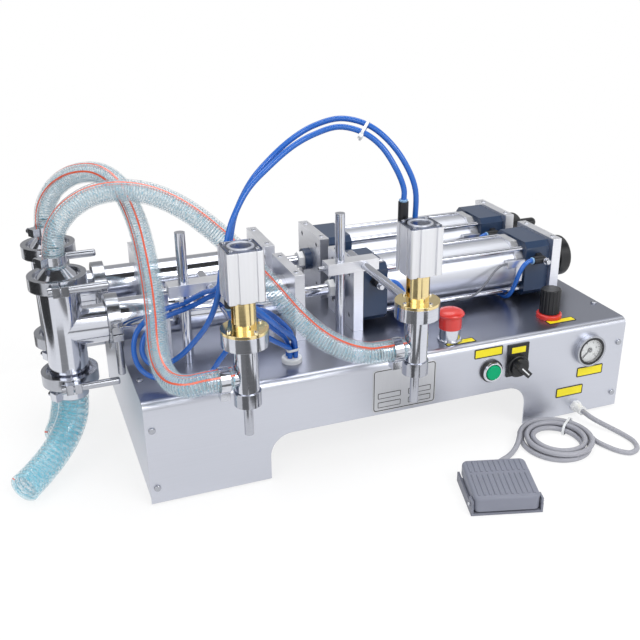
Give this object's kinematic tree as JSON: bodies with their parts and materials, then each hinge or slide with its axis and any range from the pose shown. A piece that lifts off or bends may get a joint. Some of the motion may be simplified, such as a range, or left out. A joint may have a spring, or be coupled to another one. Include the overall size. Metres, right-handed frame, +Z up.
{
  "type": "pneumatic piston filling machine",
  "caption": "Bench-top pneumatic piston filler: air cylinders drive product cylinders with check-valve tees, hoses and shut-off nozzles over a steel cabinet, with a foot pedal.",
  "frame": {"origin": "centre of the cabinet's footprint on the table", "axes": "+X to the right along the cabinet, towards the handwheels; +Y to the back; +Z up"},
  "size_m": [0.789, 0.5243, 0.4189],
  "materials": {
    "sheet_steel": "brushed sheet",
    "brushed_steel": "machined",
    "bright_steel": "polished",
    "cast_steel": "cast and tumbled",
    "barrel_metal": "clear anodised",
    "cap_metal": "satin paint",
    "white_metal": "satin",
    "yoke_brass": "machined",
    "rubber": "matte",
    "white_plastic": "matte",
    "black_plastic": "matte",
    "red_plastic": "gloss",
    "green_plastic": "gloss",
    "pedal_plastic": "moulded",
    "grey_cable": "matte",
    "blue_tube": "gloss",
    "clear_hose": "clear with wire"
  },
  "bodies": {
    "machine": {"cabinet_cover": "sheet_steel", "end_panels": "sheet_steel", "cabinet_feet": "rubber", "cabinet_screws": "bright_steel", "valve_manifold": "cap_metal", "saddle_plates": "brushed_steel", "rod_plates": "brushed_steel", "nose_plates": "brushed_steel", "wheel_plates": "brushed_steel", "product_cylinders": "bright_steel", "air_barrels": "barrel_metal", "air_caps": "cap_metal", "tie_rods": "bright_steel", "sensor_bands": "white_metal", "tee_bodies": "brushed_steel", "clamp_halves": "cast_steel", "clamp_bolts": "cast_steel", "ptfe_seals": "white_plastic", "hose_barbs": "brushed_steel", "stand_rods": "bright_steel", "clamp_bars": "brushed_steel", "arm_rods": "bright_steel", "clamp_screws": "cast_steel", "nozzle_bodies": "brushed_steel", "nozzle_yokes": "yoke_brass", "actuators": "barrel_metal", "nozzle_tips": "brushed_steel", "push_in_fittings": "black_plastic", "hose_clips": "bright_steel", "button_bezel": "bright_steel", "selector_base": "black_plastic", "gauge_case": "black_plastic", "cord_glands": "white_plastic", "estop_base": "bright_steel", "regulator_body": "red_plastic", "pedal_base": "pedal_plastic", "pedal_pin": "bright_steel", "product_hoses": "clear_hose", "suction_hoses": "clear_hose", "air_tubes": "blue_tube", "pedal_cord": "grey_cable", "pedal_cord_coil": "grey_cable"},
    "piston_front_body": {"piston_front": "bright_steel"},
    "piston_rear_body": {"piston_rear": "bright_steel"},
    "handwheel_front_body": {"handwheel_front": "black_plastic"},
    "handwheel_rear_body": {"handwheel_rear": "black_plastic"},
    "stroke_stop_front_body": {"stroke_stop_front": "yoke_brass"},
    "stroke_stop_rear_body": {"stroke_stop_rear": "yoke_brass"},
    "suction_ball_front_body": {"suction_ball_front": "bright_steel"},
    "suction_ball_rear_body": {"suction_ball_rear": "bright_steel"},
    "discharge_ball_front_body": {"discharge_ball_front": "bright_steel"},
    "discharge_ball_rear_body": {"discharge_ball_rear": "bright_steel"},
    "nozzle_stem_left_body": {"nozzle_stem_left": "bright_steel"},
    "nozzle_stem_right_body": {"nozzle_stem_right": "bright_steel"},
    "estop_head_body": {"estop_head": "red_plastic"},
    "button_cap_body": {"button_cap": "green_plastic"},
    "selector_lever_body": {"selector_lever": "black_plastic"},
    "gauge_needle_body": {"gauge_needle": "white_plastic"},
    "regulator_knob_body": {"regulator_knob": "black_plastic"},
    "pedal_treadle_body": {"pedal_treadle": "pedal_plastic"}
  },
  "joints": [
    {"name": "piston_front_slide", "type": "slide", "parent": "machine", "child": "piston_front_body", "axis": [1, 0, 0], "range_m": [0, 0.14]},
    {"name": "handwheel_front_turn", "type": "hinge", "parent": "machine", "child": "handwheel_front_body", "pos_m": [0.28, -0.031, 0.175], "axis": [1, 0, 0], "range_deg": [0, 2520]},
    {"name": "stroke_stop_front_slide", "type": "slide", "parent": "machine", "child": "stroke_stop_front_body", "axis": [-1, 0, 0], "range_m": [0, 0.021]},
    {"name": "suction_ball_front_lift", "type": "slide", "parent": "machine", "child": "suction_ball_front_body", "axis": [0, 0, 1], "range_m": [0, 0.007]},
    {"name": "discharge_ball_front_lift", "type": "slide", "parent": "machine", "child": "discharge_ball_front_body", "axis": [0, 0, 1], "range_m": [0, 0.007]},
    {"name": "piston_rear_slide", "type": "slide", "parent": "machine", "child": "piston_rear_body", "axis": [1, 0, 0], "range_m": [0, 0.14]},
    {"name": "handwheel_rear_turn", "type": "hinge", "parent": "machine", "child": "handwheel_rear_body", "pos_m": [0.28, 0.087, 0.175], "axis": [1, 0, 0], "range_deg": [0, 2520]},
    {"name": "stroke_stop_rear_slide", "type": "slide", "parent": "machine", "child": "stroke_stop_rear_body", "axis": [-1, 0, 0], "range_m": [0, 0.021]},
    {"name": "suction_ball_rear_lift", "type": "slide", "parent": "machine", "child": "suction_ball_rear_body", "axis": [0, 0, 1], "range_m": [0, 0.007]},
    {"name": "discharge_ball_rear_lift", "type": "slide", "parent": "machine", "child": "discharge_ball_rear_body", "axis": [0, 0, 1], "range_m": [0, 0.007]},
    {"name": "nozzle_stem_left_lift", "type": "slide", "parent": "machine", "child": "nozzle_stem_left_body", "axis": [0, 0, 1], "range_m": [0, 0.008]},
    {"name": "nozzle_stem_right_lift", "type": "slide", "parent": "machine", "child": "nozzle_stem_right_body", "axis": [0, 0, 1], "range_m": [0, 0.008]},
    {"name": "estop_press", "type": "slide", "parent": "machine", "child": "estop_head_body", "axis": [0, 0, -1], "range_m": [0, 0.0045], "stiffness_N_per_m": 2000},
    {"name": "button_press", "type": "slide", "parent": "machine", "child": "button_cap_body", "axis": [0, 1, 0], "range_m": [0, 0.003], "stiffness_N_per_m": 1500},
    {"name": "selector_turn", "type": "hinge", "parent": "machine", "child": "selector_lever_body", "pos_m": [0.153, -0.175, 0.092], "axis": [0, -1, 0], "range_deg": [0, 90]},
    {"name": "gauge_turn", "type": "hinge", "parent": "machine", "child": "gauge_needle_body", "pos_m": [0.261, -0.17, 0.0945], "axis": [0, 1, 0], "range_deg": [0, 270]},
    {"name": "regulator_turn", "type": "hinge", "parent": "machine", "child": "regulator_knob_body", "pos_m": [0.225, -0.125, 0.15], "axis": [0, 0, 1], "range_deg": [0, 1080]},
    {"name": "pedal_tilt", "type": "hinge", "parent": "machine", "child": "pedal_treadle_body", "pos_m": [0.05128, -0.31892, 0.0115], "axis": [-0.9613, 0.2756, 0], "range_deg": [0, 5], "stiffness_Nm_per_rad": 3, "springref_deg": -1.72}
  ],
  "couplings": [
    {"joint": "stroke_stop_front_slide", "follows": "handwheel_front_turn", "m_per_rad": 0.0004774},
    {"joint": "stroke_stop_rear_slide", "follows": "handwheel_rear_turn", "m_per_rad": 0.0004774}
  ]
}
